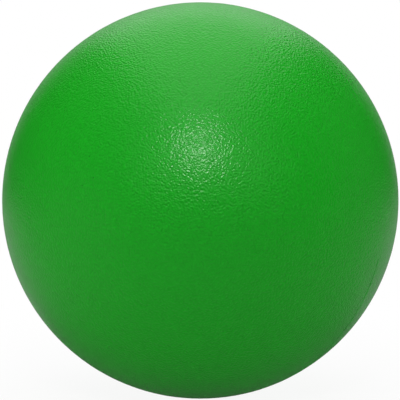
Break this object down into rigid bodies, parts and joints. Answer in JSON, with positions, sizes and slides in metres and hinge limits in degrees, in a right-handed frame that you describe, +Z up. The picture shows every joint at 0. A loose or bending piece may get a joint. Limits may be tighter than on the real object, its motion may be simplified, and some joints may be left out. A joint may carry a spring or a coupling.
{
  "type": "foam ball",
  "caption": "Soft play ball: a round foam core in a glossy moulded skin, made as half shells that meet in a thin seam, resting on a small flat.",
  "frame": {"origin": "middle of the small flat that the ball rests on", "axes": "+Z up; the seam lies in the XZ plane; -Y points to the pole of the half skin that the picture shows"},
  "size_m": [0.16, 0.16, 0.1595],
  "materials": {
    "skin": "semi-gloss polyurethane skin with a fine orange-peel relief",
    "foam": "matt open-cell polyurethane foam"
  },
  "bodies": {
    "root": {"skin_front": "skin", "skin_rear": "skin", "foam_core": "foam"}
  },
  "joints": []
}
